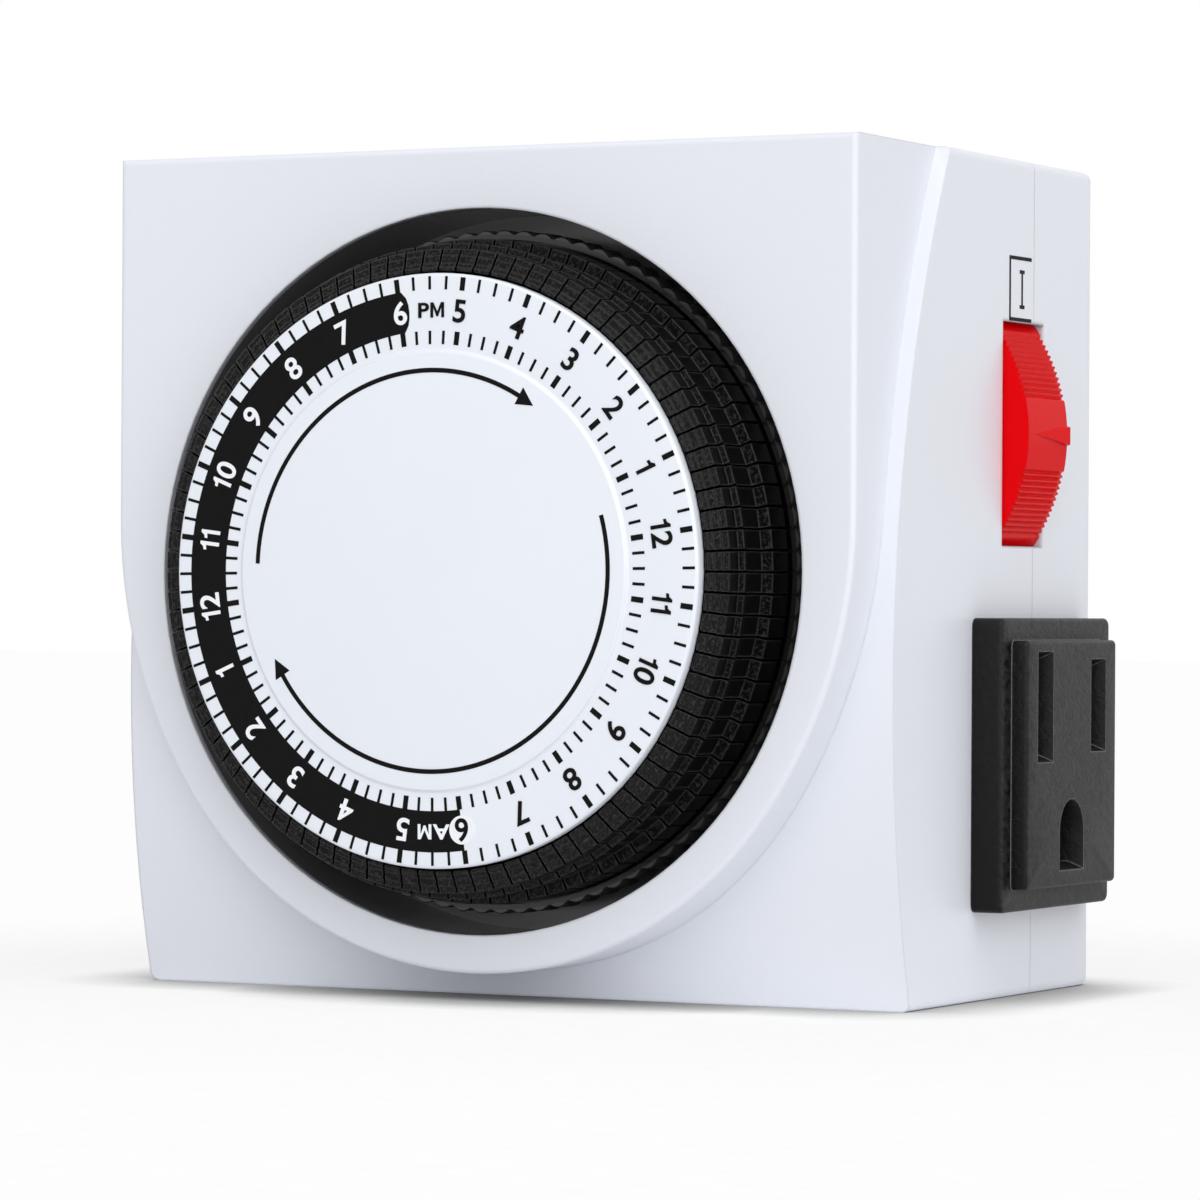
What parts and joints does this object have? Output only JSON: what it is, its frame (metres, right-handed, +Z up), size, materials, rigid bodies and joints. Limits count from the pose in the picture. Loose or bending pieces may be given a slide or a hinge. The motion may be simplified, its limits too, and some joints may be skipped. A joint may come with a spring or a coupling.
{
  "type": "plug-in timer switch",
  "caption": "Plug-in mechanical 24 hour timer: turning dial with push-down time segments, geared motor, override selector and two grounded side outlets.",
  "frame": {"origin": "middle of the flat bottom face, at floor level", "axes": "+Z up; -Y is the way the dial faces; +Y is the way the plug leaves; +X is the side with the override selector"},
  "size_m": [0.0888, 0.0807, 0.0778],
  "materials": {
    "housing_white": "white ABS, satin moulded",
    "well_black": "glossy black ABS",
    "dial_white": "white, printed in black",
    "dial_black": "black, lightly textured",
    "segment_black": "black, fine spark texture",
    "selector_red": "glossy red",
    "outlet_black": "black, fine texture",
    "insulator_black": "black",
    "gear_nylon": "natural acetal",
    "brass_pinion": "machined brass",
    "contact_brass": "stamped brass",
    "blade_brass": "nickel-plated brass",
    "zinc_steel": "zinc-plated steel",
    "motor_steel": "pressed steel can"
  },
  "bodies": {
    "housing": {"front_housing": "housing_white", "rear_cover": "housing_white", "housing_screws": "zinc_steel", "dial_well": "well_black", "dial_spindle": "zinc_steel", "dial_clip": "zinc_steel", "friction_washer": "gear_nylon", "movement_plate": "gear_nylon", "plate_screws": "zinc_steel", "idler_shaft": "zinc_steel", "motor_can": "motor_steel", "follower_pin": "zinc_steel", "fixed_contact": "contact_brass", "selector_pin": "zinc_steel", "outlet_right": "outlet_black", "outlet_left": "outlet_black", "contacts_right": "contact_brass", "contacts_left": "contact_brass", "neutral_bus": "contact_brass", "line_bus": "contact_brass", "ground_strap": "contact_brass", "neutral_blade": "blade_brass", "line_blade": "blade_brass", "ground_pin": "blade_brass", "plug_insulator": "insulator_black"},
    "dial": {"dial_face": "dial_white", "dial_body": "dial_black", "dial_gear": "gear_nylon"},
    "idler": {"idler_gear": "gear_nylon"},
    "motor_rotor": {"motor_pinion": "brass_pinion"},
    "follower": {"follower_lever": "gear_nylon", "moving_contact": "contact_brass"},
    "selector": {"override_selector": "selector_red"},
    "segment_group_00": {"segments_00": "segment_black"},
    "segment_group_01": {"segments_01": "segment_black"},
    "segment_group_02": {"segments_02": "segment_black"},
    "segment_group_03": {"segments_03": "segment_black"},
    "segment_group_04": {"segments_04": "segment_black"},
    "segment_group_05": {"segments_05": "segment_black"},
    "segment_group_06": {"segments_06": "segment_black"},
    "segment_group_07": {"segments_07": "segment_black"},
    "segment_group_08": {"segments_08": "segment_black"},
    "segment_group_09": {"segments_09": "segment_black"},
    "segment_group_10": {"segments_10": "segment_black"},
    "segment_group_11": {"segments_11": "segment_black"},
    "segment_group_12": {"segments_12": "segment_black"},
    "segment_group_13": {"segments_13": "segment_black"},
    "segment_group_14": {"segments_14": "segment_black"},
    "segment_group_15": {"segments_15": "segment_black"},
    "segment_group_16": {"segments_16": "segment_black"},
    "segment_group_17": {"segments_17": "segment_black"},
    "segment_group_18": {"segments_18": "segment_black"},
    "segment_group_19": {"segments_19": "segment_black"},
    "segment_group_20": {"segments_20": "segment_black"},
    "segment_group_21": {"segments_21": "segment_black"},
    "segment_group_22": {"segments_22": "segment_black"},
    "segment_group_23": {"segments_23": "segment_black"}
  },
  "joints": [
    {"name": "dial_turn", "type": "hinge", "parent": "housing", "child": "dial", "pos_m": [0, -0.03044, 0.0391], "axis": [0, 1, 0], "continuous": true},
    {"name": "idler_turn", "type": "hinge", "parent": "housing", "child": "idler", "pos_m": [-0.01908, -0.01164, 0.02], "axis": [0, 1, 0], "continuous": true},
    {"name": "motor_turn", "type": "hinge", "parent": "housing", "child": "motor_rotor", "pos_m": [-0.00108, -0.01164, 0.02], "axis": [0, 1, 0], "continuous": true},
    {"name": "follower_swing", "type": "hinge", "parent": "housing", "child": "follower", "pos_m": [0.014, -0.01514, 0.0671], "axis": [0, 0, -1], "range_deg": [-5, 0]},
    {"name": "selector_turn", "type": "hinge", "parent": "housing", "child": "selector", "pos_m": [0.02485, 0.00316, 0.0522], "axis": [0, 1, 0], "range_deg": [-8, 8]},
    {"name": "push_00", "type": "slide", "parent": "dial", "child": "segment_group_00", "axis": [0, 1, 0], "range_m": [0, 0.0025]},
    {"name": "push_01", "type": "slide", "parent": "dial", "child": "segment_group_01", "axis": [0, 1, 0], "range_m": [0, 0.0025]},
    {"name": "push_02", "type": "slide", "parent": "dial", "child": "segment_group_02", "axis": [0, 1, 0], "range_m": [0, 0.0025]},
    {"name": "push_03", "type": "slide", "parent": "dial", "child": "segment_group_03", "axis": [0, 1, 0], "range_m": [0, 0.0025]},
    {"name": "push_04", "type": "slide", "parent": "dial", "child": "segment_group_04", "axis": [0, 1, 0], "range_m": [0, 0.0025]},
    {"name": "push_05", "type": "slide", "parent": "dial", "child": "segment_group_05", "axis": [0, 1, 0], "range_m": [0, 0.0025]},
    {"name": "push_06", "type": "slide", "parent": "dial", "child": "segment_group_06", "axis": [0, 1, 0], "range_m": [0, 0.0025]},
    {"name": "push_07", "type": "slide", "parent": "dial", "child": "segment_group_07", "axis": [0, 1, 0], "range_m": [0, 0.0025]},
    {"name": "push_08", "type": "slide", "parent": "dial", "child": "segment_group_08", "axis": [0, 1, 0], "range_m": [0, 0.0025]},
    {"name": "push_09", "type": "slide", "parent": "dial", "child": "segment_group_09", "axis": [0, 1, 0], "range_m": [0, 0.0025]},
    {"name": "push_10", "type": "slide", "parent": "dial", "child": "segment_group_10", "axis": [0, 1, 0], "range_m": [0, 0.0025]},
    {"name": "push_11", "type": "slide", "parent": "dial", "child": "segment_group_11", "axis": [0, 1, 0], "range_m": [0, 0.0025]},
    {"name": "push_12", "type": "slide", "parent": "dial", "child": "segment_group_12", "axis": [0, 1, 0], "range_m": [0, 0.0025]},
    {"name": "push_13", "type": "slide", "parent": "dial", "child": "segment_group_13", "axis": [0, 1, 0], "range_m": [0, 0.0025]},
    {"name": "push_14", "type": "slide", "parent": "dial", "child": "segment_group_14", "axis": [0, 1, 0], "range_m": [0, 0.0025]},
    {"name": "push_15", "type": "slide", "parent": "dial", "child": "segment_group_15", "axis": [0, 1, 0], "range_m": [0, 0.0025]},
    {"name": "push_16", "type": "slide", "parent": "dial", "child": "segment_group_16", "axis": [0, 1, 0], "range_m": [0, 0.0025]},
    {"name": "push_17", "type": "slide", "parent": "dial", "child": "segment_group_17", "axis": [0, 1, 0], "range_m": [0, 0.0025]},
    {"name": "push_18", "type": "slide", "parent": "dial", "child": "segment_group_18", "axis": [0, 1, 0], "range_m": [0, 0.0025]},
    {"name": "push_19", "type": "slide", "parent": "dial", "child": "segment_group_19", "axis": [0, 1, 0], "range_m": [0, 0.0025]},
    {"name": "push_20", "type": "slide", "parent": "dial", "child": "segment_group_20", "axis": [0, 1, 0], "range_m": [0, 0.0025]},
    {"name": "push_21", "type": "slide", "parent": "dial", "child": "segment_group_21", "axis": [0, 1, 0], "range_m": [0, 0.0025]},
    {"name": "push_22", "type": "slide", "parent": "dial", "child": "segment_group_22", "axis": [0, 1, 0], "range_m": [0, 0.0025]},
    {"name": "push_23", "type": "slide", "parent": "dial", "child": "segment_group_23", "axis": [0, 1, 0], "range_m": [0, 0.0025]}
  ],
  "couplings": [
    {"joint": "idler_turn", "follows": "dial_turn", "ratio": -8},
    {"joint": "motor_turn", "follows": "dial_turn", "ratio": 40}
  ]
}
